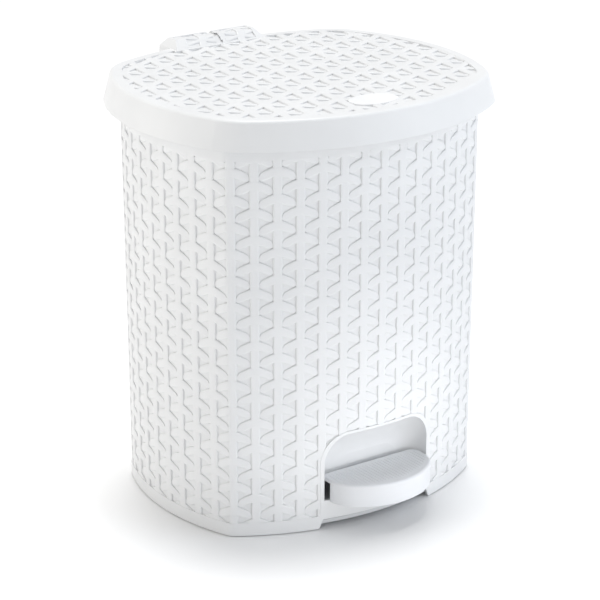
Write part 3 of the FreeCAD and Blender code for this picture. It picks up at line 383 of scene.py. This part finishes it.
def wanted_on_body(along, height):
    points, _ = BODY.at(along)
    kept = (height > WEAVE_BOTTOM - OVERRUN) & (height < WEAVE_TOP + OVERRUN)
    return kept & ~((points[..., 1] < 0) & in_niche(points[..., 0], height, NICHE_MARGIN))


LID_FIELD = ring_of_points(LID, LID_FIELD_INSET - OVERRUN)


def wanted_on_lid(along, across):
    x, y = turned(along, across)
    under_cover = (np.abs(x) < COVER_KEEP_HALF - OVERRUN) & (y > COVER_KEEP_FRONT + OVERRUN)
    badge_x = x / (BADGE_HALF_WIDTH - OVERRUN)
    badge_y = (y - BADGE_MIDDLE) / (BADGE_HALF_DEPTH - OVERRUN)
    return inside_polygon(x, y, LID_FIELD) & ~under_cover & (np.hypot(badge_x, badge_y) > 1)


def wanted_on_cover(along, across):
    x, y = cover_place(along, across)
    side = np.abs(x)
    beside_notch = (side < COVER_WEAVE_HALF + OVERRUN) & (side > COVER_NOTCH_HALF)
    return beside_notch & (y > COVER_FOOT + 1) & (y < COVER_WEAVE_REAR + OVERRUN)


def make_body_weave():
    """Four panels of strands round the body, one for each side."""
    pitch = BODY.length / BODY_COLUMNS
    sides = {"front": FRONT_COLUMNS, "right": SIDE_COLUMNS, "back": FRONT_COLUMNS, "left": SIDE_COLUMNS}
    first = -FRONT_COLUMNS // 2
    made = []
    for side, count in sides.items():
        weave = Weave(on_body, wanted_on_body)
        columns = []
        for k in range(first, first + count):
            columns.append((k * pitch, BODY_PHASE + (0 if k % 2 else BODY_PERIOD / 2)))
        weave_columns(weave, columns, WEAVE_BOTTOM, WEAVE_TOP, BODY_PERIOD, pitch, BODY_RISES)
        panel = weave.finish(f"body_weave_{side}")
        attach(panel, "bin")
        made.append(panel)
        first += count
    return made


def lid_columns():
    count = int(LID_HALF_WIDTH // LID_PITCH) + 1
    columns = []
    for k in range(-count, count + 1):
        columns.append((LID_SHIFT + k * LID_PITCH, LID_PHASE + (LID_PERIOD / 2 if k % 2 else 0)))
    return columns


def make_lid_weave():
    """Strands on the lid's face and on the hinge cover."""
    face = Weave(on_lid, wanted_on_lid)
    weave_columns(face, lid_columns(), -LID_HALF_DEPTH, LID_HALF_DEPTH, LID_PERIOD, LID_PITCH, LID_RISES)
    cover = Weave(on_cover, wanted_on_cover)
    low, high = COVER_FOOT - LID_PERIOD, COVER_WEAVE_REAR + LID_PERIOD
    weave_columns(cover, lid_columns(), low, high, LID_PERIOD, LID_PITCH, COVER_RISES)
    made = [face.finish("lid_weave"), cover.finish("hinge_cover_weave")]
    for piece in made:
        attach(piece, "lid")
    return made


def tread_front(x):
    """Where the tread's front edge lies at a place across it."""
    arc_y = TREAD_FRONT + TREAD_FRONT_ARC
    corner_x = TREAD_HALF_WIDTH - TREAD_CORNER
    spread = TREAD_FRONT_ARC - TREAD_CORNER
    if abs(x) < TREAD_FRONT_ARC * corner_x / spread:
        return arc_y - math.sqrt(TREAD_FRONT_ARC**2 - x**2)
    corner_y = arc_y - math.sqrt(spread**2 - corner_x**2)
    return corner_y - math.sqrt(TREAD_CORNER**2 - (abs(x) - corner_x) ** 2)


def make_tread_ribs():
    """Fine rounded ribs on the tread, from its back edge to its curved front."""
    points, quads = [], []
    angles = np.linspace(0, math.pi, TREAD_RIB_SIDES + 1)
    row_length = len(angles)
    side_count = int((TREAD_HALF_WIDTH - TREAD_MARGIN) // TREAD_RIB_PITCH)
    for i in range(-side_count, side_count + 1):
        x = i * TREAD_RIB_PITCH
        start = len(points)
        low, high = tread_front(x) + TREAD_MARGIN, TREAD_REAR - TREAD_MARGIN
        for k, y in enumerate(np.linspace(low, high, TREAD_RIB_ROWS + 1)):
            rise = TREAD_RIB_RISE * min(k, TREAD_RIB_ROWS - k, 1)
            for angle in angles:
                z = TREAD_TOP - TREAD_RIB_SINK + rise * math.sin(angle)
                points.append((x + TREAD_RIB_HALF * math.cos(angle), y, z))
        for k in range(TREAD_RIB_ROWS):
            for j in range(TREAD_RIB_SIDES):
                a = start + k * row_length + j
                quads.append((a, a + row_length, a + row_length + 1, a + 1))
    ribs = make_mesh("tread_ribs", points, quads)
    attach(ribs, "pedal")
    return ribs


# ---------------------------------------------------------------- materials

def new_material(name):
    material = bpy.data.materials.new(name)
    material.use_nodes = True
    tree = material.node_tree
    return material, tree, tree.nodes["Principled BSDF"]


def noise(tree, scale, detail=4.0, stretch=None):
    """Noise over the object's own coordinates."""
    place = tree.nodes.new("ShaderNodeTexCoord")
    source = place.outputs["Object"]
    if stretch is not None:
        mapping = tree.nodes.new("ShaderNodeMapping")
        mapping.inputs["Scale"].default_value = stretch
        tree.links.new(source, mapping.inputs["Vector"])
        source = mapping.outputs["Vector"]
    cloud = tree.nodes.new("ShaderNodeTexNoise")
    cloud.inputs["Scale"].default_value = scale
    cloud.inputs["Detail"].default_value = detail
    tree.links.new(source, cloud.inputs["Vector"])
    return cloud.outputs["Fac"]


def ramp(tree, source, low, high, start=0.35, end=0.65):
    """Turns a 0..1 value into a blend of two colours or greys."""
    made = tree.nodes.new("ShaderNodeValToRGB")
    made.color_ramp.elements[0].position = start
    made.color_ramp.elements[1].position = end
    made.color_ramp.elements[0].color = (*low, 1)
    made.color_ramp.elements[1].color = (*high, 1)
    tree.links.new(source, made.inputs["Fac"])
    return made.outputs["Color"]


def bump(tree, source, distance, strength=1.0, under=None):
    made = tree.nodes.new("ShaderNodeBump")
    made.inputs["Distance"].default_value = distance
    made.inputs["Strength"].default_value = strength
    tree.links.new(source, made.inputs["Height"])
    if under is not None:
        tree.links.new(under, made.inputs["Normal"])
    return made.outputs["Normal"]


def moulded_plastic(name, colour, rough, grain=0.00002, mottle=0.02, ior=1.49):
    """Satin moulded plastic: faint clouding, uneven gloss and a fine spark-eroded grain."""
    material, tree, shader = new_material(name)
    darker = tuple(max(0.0, value - mottle) for value in colour)
    tree.links.new(ramp(tree, noise(tree, 22.0), darker, colour), shader.inputs["Base Color"])
    low, high = (rough - 0.05,) * 3, (rough + 0.07,) * 3
    tree.links.new(ramp(tree, noise(tree, 60.0), low, high), shader.inputs["Roughness"])
    waves = bump(tree, noise(tree, 45.0, 2.0), 0.0002, 0.35)
    tree.links.new(bump(tree, noise(tree, 2200.0, 3.0), grain, 0.5, waves), shader.inputs["Normal"])
    shader.inputs["IOR"].default_value = ior
    return material


def drawn_steel(name):
    """Bright drawn wire: fine scratches along the draw and a little tarnish."""
    material, tree, shader = new_material(name)
    tarnish = ramp(tree, noise(tree, 90.0), (0.58, 0.58, 0.57), (0.74, 0.75, 0.76))
    tree.links.new(tarnish, shader.inputs["Base Color"])
    scratches = noise(tree, 700.0, 5.0, (1.0, 1.0, 0.06))
    tree.links.new(ramp(tree, scratches, (0.2,) * 3, (0.42,) * 3), shader.inputs["Roughness"])
    tree.links.new(bump(tree, scratches, 0.00003, 0.4), shader.inputs["Normal"])
    shader.inputs["Metallic"].default_value = 1.0
    return material


def soft_rubber(name):
    """Grey rubber with a matt, slightly dusty skin."""
    material, tree, shader = new_material(name)
    dust = ramp(tree, noise(tree, 120.0), (0.30, 0.30, 0.31), (0.42, 0.42, 0.42))
    tree.links.new(dust, shader.inputs["Base Color"])
    tree.links.new(ramp(tree, noise(tree, 300.0), (0.72,) * 3, (0.9,) * 3), shader.inputs["Roughness"])
    tree.links.new(bump(tree, noise(tree, 1500.0), 0.00005, 0.6), shader.inputs["Normal"])
    return material


def make_materials():
    """One material for each of the record's slots."""
    return {
        "body_plastic": moulded_plastic("body_plastic", (0.79, 0.795, 0.8), 0.42),
        "lid_plastic": moulded_plastic("lid_plastic", (0.79, 0.795, 0.8), 0.42),
        "pedal_plastic": moulded_plastic("pedal_plastic", (0.74, 0.75, 0.77), 0.45, 0.00004),
        "badge_plastic": moulded_plastic("badge_plastic", (0.86, 0.865, 0.87), 0.4, 0.00001),
        "bucket_plastic": moulded_plastic("bucket_plastic", (0.78, 0.79, 0.8), 0.45, 0.00003),
        "mechanism_plastic": moulded_plastic("mechanism_plastic", (0.66, 0.67, 0.68), 0.48, 0.00003),
        "steel_wire": drawn_steel("steel_wire"),
        "foot_rubber": soft_rubber("foot_rubber"),
    }


def dress(pieces, materials):
    """Gives every CAD node and every new piece the material of its slot."""
    slots = {row["node"]: row["material_slot"] for row in frame["record"]["subparts"]}
    for node, thing in frame["nodes"].items():
        material = materials[slots[node]]
        if not thing.material_slots:
            thing.data.materials.append(material)
        for holder in thing.material_slots:
            holder.material = material
    for piece, slot in pieces:
        piece.data.materials.append(materials[slot])


# ---------------------------------------------------------------- stage, light and camera

FLOOR_HALF = 60000.0
FLOOR_CORNERS = ((-1, -1), (1, -1), (1, 1), (-1, 1))
BOX_DISTANCE = 2.2
BOX_SIZE = 1.7
SUN_FROM = (145.0, 80.0)
SUN_STRENGTH = 2.0
SUN_ANGLE = 20.0
SPOT_TARGET = (0.0, -0.105, 0.05)
SPOT_FROM = (8.0, 1.5)
SPOT_DISTANCE = 1.2
SPOT_POWER = 32.0
SPOT_ANGLE = 10.0
SPOT_RADIUS = 0.1
ROOM_STRENGTH = 0.5


def make_floor():
    """A large pale floor under the object."""
    corners = [(FLOOR_HALF * x, FLOOR_HALF * y, 0) for x, y in FLOOR_CORNERS]
    floor = make_mesh("floor", corners, [(0, 1, 2, 3)])
    material, tree, shader = new_material("floor_paper")
    tree.links.new(ramp(tree, noise(tree, 3.0), (0.93,) * 3, (0.95,) * 3), shader.inputs["Base Color"])
    shader.inputs["Roughness"].default_value = 0.6
    floor.data.materials.append(material)


def aim(target, azimuth, elevation, distance):
    """A lamp's place that looks at a target; azimuth is 0 in front and grows towards +X."""
    a, e = math.radians(azimuth), math.radians(elevation)
    way = Vector((math.sin(a) * math.cos(e), -math.cos(a) * math.cos(e), math.sin(e)))
    return Matrix.Translation(target + way * distance) @ way.to_track_quat("Z", "Y").to_matrix().to_4x4()


def add_lamp(name, kind, energy, place):
    """A lamp of one kind at a place."""
    data = bpy.data.lights.new(name, kind)
    data.energy = energy
    lamp = bpy.data.objects.new(name, data)
    lamp.matrix_world = place
    bpy.context.scene.collection.objects.link(lamp)
    return data


def light_stage():
    """Wide soft boxes at both sides, a weak one in front, an overhead lamp, and a spot on the niche."""
    middle = (cad_box[0] + cad_box[1]) / 2
    for name, azimuth, elevation, power, colour in (
        ("left_box", -122, 12, 15, (1.0, 0.975, 0.92)),
        ("right_box", 44, 24, 13.5, (0.80, 0.885, 1.0)),
        ("front_box", 0, 6, 3.5, (0.82, 0.90, 1.0)),
    ):
        box = add_lamp(name, "AREA", power, aim(middle, azimuth, elevation, BOX_DISTANCE))
        box.size = BOX_SIZE
        box.color = colour
    sky = add_lamp("overhead", "SUN", SUN_STRENGTH, aim(middle, *SUN_FROM, BOX_DISTANCE))
    sky.angle = math.radians(SUN_ANGLE)
    spot_place = aim(Vector(SPOT_TARGET), *SPOT_FROM, SPOT_DISTANCE)
    spot = add_lamp("niche_spot", "SPOT", SPOT_POWER, spot_place)
    spot.spot_size = math.radians(SPOT_ANGLE)
    spot.spot_blend = 1.0
    spot.shadow_soft_size = SPOT_RADIUS
    world = bpy.data.worlds.new("room")
    world.use_nodes = True
    background = world.node_tree.nodes["Background"]
    background.inputs["Color"].default_value = (1, 1, 1, 1)
    background.inputs["Strength"].default_value = ROOM_STRENGTH
    bpy.context.scene.world = world
    bpy.context.scene.view_settings.view_transform = "Standard"


CAMERA_AZIMUTH = -35.03
CAMERA_ELEVATION = 20.16
CAMERA_DISTANCE = 1.9035
CAMERA_FOCAL = 141.36
VIEW_DROP = 0.0188
VIEW_HEIGHT = 0.17


def make_camera():
    """Long lens from the front left, a little above the lid."""
    a, e = math.radians(CAMERA_AZIMUTH), math.radians(CAMERA_ELEVATION)
    back = Vector((math.sin(a) * math.cos(e), -math.cos(a) * math.cos(e), math.sin(e)))
    right = Vector((math.cos(a), math.sin(a), 0))
    up = back.cross(right)
    place = Vector((0, 0, VIEW_HEIGHT)) - up * VIEW_DROP + back * CAMERA_DISTANCE
    data = bpy.data.cameras.new("camera")
    data.lens = CAMERA_FOCAL
    data.sensor_width = 36.0
    camera = bpy.data.objects.new("camera", data)
    turn = Matrix((right, up, back)).transposed().to_4x4()
    camera.matrix_world = Matrix.Translation(place) @ turn
    bpy.context.scene.collection.objects.link(camera)
    bpy.context.scene.camera = camera


pieces = [(piece, "body_plastic") for piece in make_body_weave()]
pieces += [(piece, "lid_plastic") for piece in make_lid_weave()]
pieces.append((make_tread_ribs(), "pedal_plastic"))
dress(pieces, make_materials())
make_floor()
light_stage()
make_camera()
